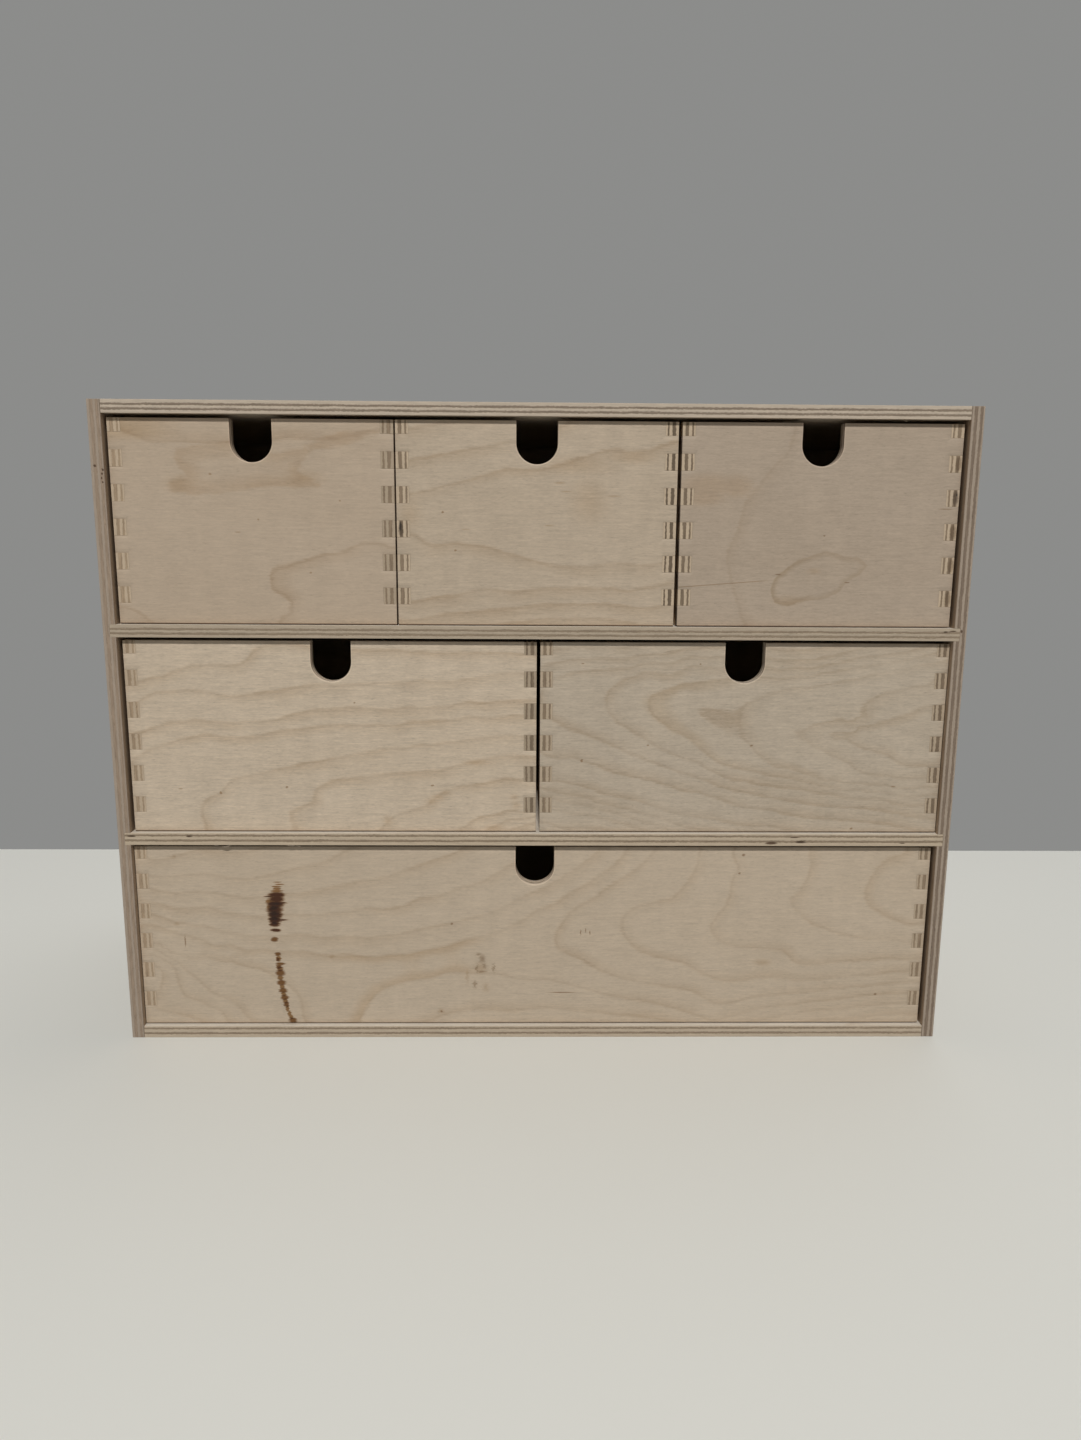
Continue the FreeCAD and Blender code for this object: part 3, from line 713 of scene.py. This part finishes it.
make_front("drawer_top_left", (
    (0.5, ((10, 95), (40, 94), (90, 95), (128, 96))),
    (0, ((7, 91), (14, 88), (19, 86), (30, 86), (56, 86), (88, 88), (128, 92))),
    (-0.5, ((8, 40), (8, 70), (40, 75), (55, 45), (100, 52), (30, 20), (120, 70), (60, 15), (90, 76),
            (50, 30), (64, 10))),
    (0, ((133, 37), (121, 39), (114, 37), (109, 35), (96, 32), (89, 30), (81, 28), (76, 27), (74, 20),
         (75, 17), (81, 14), (84, 10), (82, 5), (77, 1))),
    (0.5, ((110, 18), (128, 8), (125, 26), (100, 22))),
    (0, ((0, 8), (8, 6), (13, 2), (16, 0))),
    (0.4, ((2, 1),))),
    (0.560, 0.448, 0.338), 0.46, 1.25, brown_cloud,
    stain=((26, 64), (30, 62), (43, 61), (51, 62), (58, 63), (66, 64), (77, 65), (89, 65), (98, 65),
           (100, 67), (95, 69), (89, 72), (90, 76), (96, 82), (109, 84), (122, 88), (131, 92), (118, 92),
           (109, 91), (100, 88), (92, 84), (79, 81), (66, 84), (56, 86), (38, 84), (32, 83), (30, 79),
           (31, 75), (37, 70), (30, 69), (26, 66)))


# Top centre front: rings that spread out from the left, with a wide plain belt across the middle. It has
# short brown flecks, faint brown clouds at the left end and right of the slot, and two dark specks.
def centre_flecks(finish, wood, place, from_front):
    wood = spotted(finish, wood, place, from_front, (0.84, 0.78, 0.71), (
        (78, 68, 2.6, 0.6), (81, 64, 2.6, 0.4), (73, 48, 2.4, 0.4), (33, 46, 2.4, 0.3), (104, 62, 3.0, 0.4)),
        core=0.2)
    wood = spotted(finish, wood, place, from_front, (0.95, 0.91, 0.86), (
        (6, 53, 5.0, 6.0), (88, 76, 16.0, 4.0), (112, 80, 12.0, 3.0), (92, 60, 8.0, 9.0)),
        ragged=1.5, core=0.0)
    return spotted(finish, wood, place, from_front, (0.62, 0.52, 0.42), (
        (22, 54, 0.6, 0.6), (28, 36, 0.6, 0.5)))


make_front("drawer_top_centre", (
    (1, ((9, 78), (29, 82), (41, 84), (62, 88))),
    (2, ((9, 63), (23, 66), (38, 70), (53, 74), (77, 76), (91, 80), (101, 83), (114, 82), (132, 87))),
    (2.5, ((60, 55), (100, 55), (128, 58), (20, 54), (90, 66))),
    (3, ((8, 44), (12, 40), (28, 39), (44, 37), (59, 33), (75, 29), (88, 28), (106, 30), (128, 30))),
    (4, ((9, 11), (28, 14), (38, 17), (57, 16), (92, 18), (111, 17), (118, 18), (130, 21))),
    (5, ((3, 2), (21, 5), (57, 8), (82, 10), (111, 9), (126, 9))),
    (6, ((52, 0), (71, 3), (102, 3), (119, 0)))),
    (0.572, 0.467, 0.354), 0.44, 1.7, centre_flecks)


# Top right front: the darkest of the six and almost plain, with a ring where something wet once stood, and a
# long thin scratch from the left end nearly to that ring.
def dried_spill(finish, wood, place, from_front):
    inside = finish.frayed(finish.carried("stain"), finish.uneven(place, (4.0, 3.0, 2.0), layer=37.0), 2.2)
    rim = finish.both(finish.fade(inside, -0.5, 0.5), finish.fade(inside, 3.4, 0.5))
    reach = finish.node("SeparateXYZ", {0: place})
    strong = finish.sum("MULTIPLY_ADD", finish.fade(reach.outputs[0], 76.0, 52.0), 0.35, 0.25)
    strong = finish.sum("MULTIPLY_ADD", finish.uneven(place, (12.0, 6.0, 6.0), layer=41.0), 0.5, strong)
    wood = finish.shade(wood, finish.both(rim, from_front, strong), (0.80, 0.75, 0.67))
    off_line = finish.sum("SUBTRACT", reach.outputs[2],
                          finish.sum("MULTIPLY_ADD", reach.outputs[0], 0.079, 19.0))
    scratch = finish.both(finish.fade(finish.sum("ABSOLUTE", off_line), 0.35, 0.05),
                          finish.fade(reach.outputs[0], 46.0, 38.0))
    wood = finish.shade(wood, finish.both(scratch, from_front), (0.70, 0.62, 0.53))
    wood = spotted(finish, wood, place, from_front, (0.95, 0.90, 0.84), (
        (13, 67, 15, 6.0), (26, 67, 9, 5.5), (10, 62, 12, 4.5)), ragged=1.5, core=0.4)
    wood = spotted(finish, wood, place, from_front, (0.93, 0.89, 0.83), (
        (54, 13, 6.5, 2.2), (66, 27, 3.0, 1.5)), ragged=1.0, core=0.0)
    return spotted(finish, wood, place, from_front, (0.62, 0.53, 0.44), (
        (48.5, 25.4, 1.6, 0.3), (82.5, 21.7, 1.6, 0.3), (128, 57, 4.0, 0.25), (70, 44, 0.6, 0.4)))


make_front("drawer_top_right", (
    (0, ((51, 84), (44, 76), (38, 67), (31, 58), (29, 48), (24, 35))),
    (-0.5, ((8, 40), (15, 75), (10, 10))),
    (0.5, ((65, 60), (60, 20), (75, 88))),
    (0.6, ((95, 70), (95, 30), (125, 85), (125, 50), (125, 10)))),
    (0.497, 0.401, 0.310), 0.24, 1.55, dried_spill,
    stain=((48, 25), (45, 20), (46, 14), (48, 11), (55, 10), (62, 13), (70, 13), (79, 17), (82, 22), (88, 25),
           (92, 30), (88, 34), (81, 34), (72, 37), (66, 35), (57, 32), (51, 27)))


# Middle left front: the palest of the six, with smooth rings that climb to the right from its left end and
# from its lower edge, and small brown patches low in its right half.
def low_patches(finish, wood, place, from_front):
    wood = spotted(finish, wood, place, from_front, (0.91, 0.86, 0.80), (
        (191, 18, 2.0, 1.4), (192, 14, 2.2, 2.0), (149.5, 16, 3.0, 1.8), (153, 18, 3.5, 1.8),
        (156.5, 20, 2.6, 1.2), (181, 2, 4.5, 1.6), (127, 6, 2.0, 2.4), (172, 36, 6.0, 1.4)),
        ragged=1.0, core=0.0)
    return spotted(finish, wood, place, from_front, (0.60, 0.50, 0.40), (
        (77, 23, 0.7, 0.6), (150, 24, 0.9, 0.5), (24, 22, 1.2, 0.3), (112, 66, 0.6, 0.4), (44, 20, 0.7, 0.8)))


make_front("drawer_middle_left", (
    (0.5, ((8, 92), (30, 93))),
    (1, ((7, 76), (17, 78), (27, 82), (40, 84), (57, 85), (61, 88), (64, 92), (121, 92), (148, 91), (175, 91),
         (197, 90))),
    (2, ((7, 67), (15, 71), (30, 72), (40, 71), (50, 69), (59, 70), (69, 71), (81, 73), (94, 75), (112, 75),
         (127, 76), (145, 77), (162, 77), (180, 80), (195, 81))),
    (3, ((7, 51), (16, 54), (27, 56), (39, 56), (51, 55), (63, 56), (73, 57), (83, 60), (100, 62), (118, 63),
         (129, 62), (145, 63), (159, 64), (175, 66), (188, 67), (198, 67))),
    (4, ((5, 39), (13, 43), (24, 47), (39, 50), (50, 48), (61, 49), (75, 52), (92, 54), (104, 55), (125, 55),
         (143, 57), (156, 57), (168, 59), (194, 60))),
    (4.5, ((20, 30), (12, 20), (8, 8), (22, 10), (27, 25), (42, 36))),
    (5, ((36, 2), (34, 8), (35, 14), (40, 18), (46, 21), (48, 25), (57, 28), (67, 30), (81, 33), (94, 36),
         (105, 38), (120, 41), (135, 43), (151, 45), (168, 47), (197, 49))),
    (5.5, ((60, 5), (60, 18))),
    (6, ((81, 2), (78, 6), (79, 10), (86, 13), (91, 16), (92, 22), (100, 26), (116, 28), (133, 30), (155, 32),
         (166, 35), (175, 37), (195, 39))),
    (7, ((125, 2), (128, 6), (136, 10), (148, 14), (156, 21), (168, 24), (180, 26), (197, 27))),
    (7.5, ((188, 19), (165, 14))),
    (8, ((166, 2), (174, 7), (184, 9), (198, 10))),
    (9, ((180, 2), (188, 6), (199, 8)))),
    (0.668, 0.552, 0.424), 0.42, 1.95, low_patches)


# Middle right front: a pointed figure of rings inside rings, open to the right, with a broad brown band
# where one of them turns, and close rings below it.
def brown_turn(finish, wood, place, from_front):
    ring = finish.frayed(finish.carried("ring"), finish.uneven(place, (9.0, 3.0, 6.0), layer=37.0), 0.25)
    reach = finish.node("SeparateXYZ", {0: place})
    band = finish.both(finish.fade(ring, 2.80, 3.05), finish.fade(ring, 3.7, 3.2),
                       finish.fade(reach.outputs[0], 120.0, 62.0))
    wood = finish.shade(wood, finish.both(band, from_front), (0.945, 0.915, 0.87))
    return spotted(finish, wood, place, from_front, (0.60, 0.50, 0.40), (
        (106, 45, 0.7, 0.5), (159, 2, 0.8, 0.6), (79, 86, 0.6, 0.4), (21, 86, 0.9, 0.3), (21, 37, 0.7, 0.9),
        (54, 45, 0.7, 0.4), (179, 24, 1.4, 0.3)))


make_front("drawer_middle_right", (
    (-5, ((3, 5), (13, 2))),
    (-4, ((8, 12), (24, 9), (40, 5))),
    (-3, ((4, 18), (24, 14), (35, 11), (46, 8), (59, 4))),
    (-2, ((4, 22), (18, 19), (30, 15), (40, 13), (54, 9), (65, 6), (81, 1))),
    (-1, ((5, 27), (22, 24), (36, 19), (54, 15), (67, 10), (81, 8), (102, 4))),
    (0, ((4, 40), (15, 39), (22, 37), (31, 34), (43, 30), (54, 28), (67, 24), (81, 21), (92, 17), (102, 14),
         (117, 12), (129, 9), (145, 7), (162, 6), (185, 3))),
    (0, ((8, 86), (23, 88), (40, 88), (57, 91), (66, 92))),
    (1, ((8, 57), (16, 53), (27, 49), (39, 44), (50, 39), (61, 35), (71, 31), (81, 28), (92, 24), (105, 21),
         (118, 18), (132, 16), (145, 14), (162, 13), (172, 12), (188, 9), (201, 6))),
    (1, ((6, 78), (12, 80), (20, 82), (31, 83), (45, 84), (64, 86), (80, 89))),
    (1.4, ((14, 67),)),
    (2, ((75, 85), (54, 82), (44, 79), (36, 74), (33, 70), (34, 63), (40, 56), (52, 49), (61, 43), (71, 39),
         (82, 35), (93, 29), (108, 26), (118, 24), (135, 22), (148, 20), (174, 18), (201, 16))),
    (2, ((118, 83), (135, 84), (148, 87), (162, 90), (179, 92))),
    (3, ((90, 78), (75, 76), (67, 74), (59, 71), (54, 66), (56, 61), (63, 55), (73, 50), (79, 45), (86, 39),
         (94, 35), (102, 33), (116, 30), (129, 28), (139, 26), (148, 24), (162, 22), (178, 20), (194, 19))),
    (3, ((110, 80), (127, 80), (141, 82), (152, 84), (166, 86), (179, 88), (188, 90))),
    (3.5, ((70, 73), (66, 70), (65, 64), (69, 59), (75, 53), (83, 48), (89, 41))),
    (4, ((201, 88), (188, 86), (168, 82), (158, 79), (140, 76), (125, 74), (117, 72), (110, 69), (103, 66),
         (100, 61), (99, 56), (101, 52), (106, 45), (112, 39), (118, 35), (128, 33), (135, 30), (143, 27),
         (153, 26), (167, 25), (179, 24), (195, 24))),
    (5, ((201, 83), (194, 76), (186, 75), (179, 73), (170, 71), (163, 67), (160, 64), (162, 60), (156, 57),
         (145, 57), (137, 55), (132, 52), (129, 50), (135, 47), (143, 43), (151, 39), (158, 35), (163, 31),
         (172, 30), (188, 28), (201, 28))),
    (6, ((201, 66), (191, 65), (186, 62), (178, 59), (168, 56), (160, 55), (151, 53), (145, 50), (152, 49),
         (160, 45), (170, 42), (175, 41), (180, 37), (186, 35))),
    (6.5, ((190, 50), (180, 50)))),
    (0.574, 0.484, 0.380), 0.38, 1.9, brown_turn)


# Bottom front: the widest veneer, with rings that sweep up from the left and turn back round a point right
# of the middle. A nearly black mineral streak comes down to its lower edge and thins out to a string of
# blots, and something dark has scuffed it beside that.
def mineral_streak(finish, wood, place, from_front):
    ring = finish.frayed(finish.carried("ring"), finish.uneven(place, (9.0, 3.0, 6.0), layer=37.0), 0.12)
    reach = finish.node("SeparateXYZ", {0: place})
    there = finish.both(finish.fade(reach.outputs[0], 182.0, 160.0),
                        finish.fade(reach.outputs[0], 92.0, 112.0))
    brown = finish.both(finish.fade(ring, 5.96, 6.04), finish.fade(ring, 6.36, 6.1), there)
    wood = finish.shade(wood, finish.both(brown, from_front), (0.94, 0.90, 0.85))
    blots = ((70.8, 70.8, 5.0, 1.7), (70.6, 68.4, 4.5, 2.4), (70.0, 65.6, 4.9, 2.6), (69.4, 62.8, 4.7, 2.6),
             (69.7, 60.0, 4.2, 2.6), (69.4, 57.4, 3.8, 2.4), (69.1, 55.0, 3.1, 1.8), (69.6, 51.6, 3.3, 1.0),
             (72.0, 57.2, 4.6, 0.5), (72.0, 66.4, 4.4, 0.7), (66.8, 69.9, 3.0, 0.5))
    wood = spotted(finish, wood, place, from_front, (0.44, 0.28, 0.14), (
        (67.0, 67.2, 2.6, 1.6), (67.2, 64.0, 2.4, 1.2), (71.5, 77.6, 2.4, 0.3), (72.6, 76.4, 2.8, 0.4),
        (70.8, 75.2, 2.6, 0.5), (71.2, 74.0, 2.2, 0.8), (71.0, 72.8, 3.4, 0.9)) + blots, ragged=0.6)
    wood = spotted(finish, wood, place, from_front, (0.24, 0.14, 0.09),
                   [(x, z, 0.86 * half_width, 0.92 * half_height) for x, z, half_width, half_height in blots],
                   ragged=0.6)
    wood = spotted(finish, wood, place, from_front, (0.36, 0.34, 0.36), (
        (70.2, 66.0, 2.8, 0.9), (68.9, 63.6, 2.6, 1.5), (69.0, 60.8, 2.8, 1.7), (69.2, 58.0, 2.6, 1.6),
        (69.0, 55.6, 1.9, 1.0)), ragged=0.7, core=0.2)
    wood = spotted(finish, wood, place, from_front, (0.30, 0.17, 0.07), (
        (68.6, 46.6, 2.0, 1.5), (70.1, 38.5, 1.8, 1.2), (69.9, 35.6, 1.1, 1.3), (71.2, 33.2, 2.8, 0.9),
        (70.4, 31.6, 1.7, 1.5), (71.0, 28.2, 2.8, 2.0), (71.3, 22.8, 2.6, 1.7), (72.0, 18.4, 2.5, 1.5),
        (72.7, 14.5, 2.3, 1.6), (73.4, 10.6, 1.7, 1.8), (76.5, 1.7, 2.4, 1.7)), ragged=0.5)
    wood = spotted(finish, wood, place, from_front, (0.42, 0.28, 0.14), (
        (70.6, 36.0, 1.2, 1.8), (70.8, 30.4, 1.7, 1.6), (70.9, 25.4, 1.6, 1.6), (71.6, 20.5, 1.5, 1.4),
        (72.2, 16.4, 1.5, 1.4), (72.9, 12.5, 1.5, 1.6), (73.9, 8.2, 1.2, 2.0), (74.8, 5.4, 1.1, 2.0),
        (75.6, 3.4, 1.2, 1.4)), ragged=0.4)
    wood = spotted(finish, wood, place, from_front, (0.62, 0.56, 0.50), (
        (173.6, 38.4, 1.6, 0.8), (175.8, 36.0, 1.5, 2.2), (173.0, 30.5, 0.6, 2.4), (175.6, 28.8, 2.2, 0.6),
        (177.0, 32.0, 0.6, 1.6), (181.8, 30.9, 0.7, 2.5), (172.0, 21.8, 1.0, 2.2)), ragged=0.9, core=0.1)
    wood = spotted(finish, wood, place, from_front, (0.86, 0.81, 0.75), (
        (322, 33.9, 4.5, 1.8), (177.7, 20, 1.6, 2.4), (175, 31, 3.0, 3.0), (98, 37, 1.6, 1.0),
        (19, 55, 1.4, 0.9), (168, 26, 0.8, 4.0), (154, 7, 1.6, 1.4), (19.8, 91, 1.2, 1.0)),
        ragged=0.9, core=0.1)
    return spotted(finish, wood, place, from_front, (0.52, 0.42, 0.34), (
        (160.2, 55.2, 0.7, 0.6), (154.4, 6.6, 0.6, 0.6), (22.8, 45.6, 0.35, 3.1), (309.7, 92.4, 0.9, 0.7),
        (308, 82.6, 0.7, 0.6), (382.5, 16.1, 0.8, 0.6), (226.8, 50.4, 0.3, 1.6), (229.4, 51.6, 0.3, 1.3),
        (231.6, 50.2, 0.3, 1.2), (217.5, 17.2, 7.5, 0.3)), ragged=0.2, core=0.3)


make_front("drawer_bottom", (
    (1, ((10, 89), (20, 91), (31, 94))),
    (2, ((52, 79), (71, 82), (82, 85), (93, 87), (100, 90), (106, 94))),
    (3, ((41, 71), (60, 69), (82, 71), (100, 75), (116, 78), (127, 80), (143, 86), (154, 90), (164, 94))),
    (4, ((34, 64), (46, 61), (57, 59), (66, 59), (74, 60), (89, 60), (104, 61), (116, 63), (134, 64),
         (143, 68), (153, 70), (164, 74), (182, 81), (191, 87))),
    (5, ((8, 60), (14, 57), (27, 54), (41, 51), (55, 48), (71, 48), (96, 47), (116, 47), (131, 49), (145, 52),
         (160, 55), (178, 60), (191, 66), (205, 73), (235, 94))),
    (6, ((8, 54), (22, 49), (38, 43), (55, 40), (71, 40), (89, 39), (107, 38), (123, 37), (137, 38),
         (150, 41), (164, 45), (175, 48), (191, 54), (205, 63), (215, 67), (225, 74), (235, 80), (245, 88),
         (250, 95))),
    (6.45, ((10, 47), (20, 45), (30, 41), (45, 38), (60, 36), (72, 33), (80, 27), (88, 18), (95, 8), (97, 3),
            (100, 30), (115, 30), (130, 31), (150, 35), (170, 38), (190, 42), (206, 44), (200, 32))),
    (7, ((264, 95), (258, 87), (250, 81), (240, 75), (235, 70), (228, 66), (222, 62), (217, 55), (214, 48),
         (214, 43), (219, 40), (227, 36), (241, 28), (255, 24), (271, 21), (282, 19), (289, 17), (296, 12),
         (304, 11), (316, 14), (330, 16), (343, 17), (357, 19), (378, 21), (398, 23))),
    (8, ((287, 94), (286, 86), (281, 77), (275, 70), (266, 67), (255, 64), (250, 60), (248, 54), (251, 47),
         (259, 40), (268, 37), (281, 34), (289, 29), (298, 25), (309, 24), (317, 25), (326, 26), (337, 25),
         (354, 25), (378, 27), (398, 29))),
    (9, ((304, 92), (308, 86), (305, 80), (304, 73), (302, 65), (298, 60), (294, 54), (296, 49), (301, 45),
         (308, 43), (323, 42), (331, 41), (335, 39), (339, 34), (348, 33), (371, 35), (398, 36))),
    (10, ((344, 94), (345, 86), (342, 77), (338, 70), (335, 68), (338, 64), (345, 57), (354, 53), (361, 50),
          (371, 48), (389, 47), (398, 45))),
    (11, ((391, 92), (384, 90), (379, 85), (376, 79), (374, 72), (376, 66), (383, 61), (391, 57), (399, 55))),
    (6, ((3, 45), (14, 40), (31, 37), (45, 35), (60, 31), (68, 27), (76, 21), (81, 14), (83, 1))),
    (5, ((14, 37), (20, 32), (29, 24), (37, 16), (46, 12), (52, 5), (55, 1))),
    (4, ((8, 38), (15, 33), (18, 25), (20, 17), (27, 13), (37, 9))),
    (3, ((5, 9), (16, 6), (26, 3))),
    (6, ((111, 1), (115, 9), (120, 16), (126, 20), (134, 23), (145, 25), (154, 27), (164, 29), (184, 28),
         (205, 25), (220, 22), (234, 18), (250, 14), (268, 11), (278, 8), (287, 5), (296, 2))),
    (6, ((307, 4), (316, 7), (327, 9), (342, 11), (357, 13), (375, 15), (398, 17))),
    (5, ((149, 2), (163, 7), (180, 8), (191, 7), (205, 9), (220, 8), (238, 6), (255, 4), (271, 2))),
    (5, ((323, 2), (343, 6), (364, 8), (391, 11))),
    (4, ((357, 2), (398, 5)))),
    (0.622, 0.511, 0.390), 0.30, 1.40, mineral_streak)
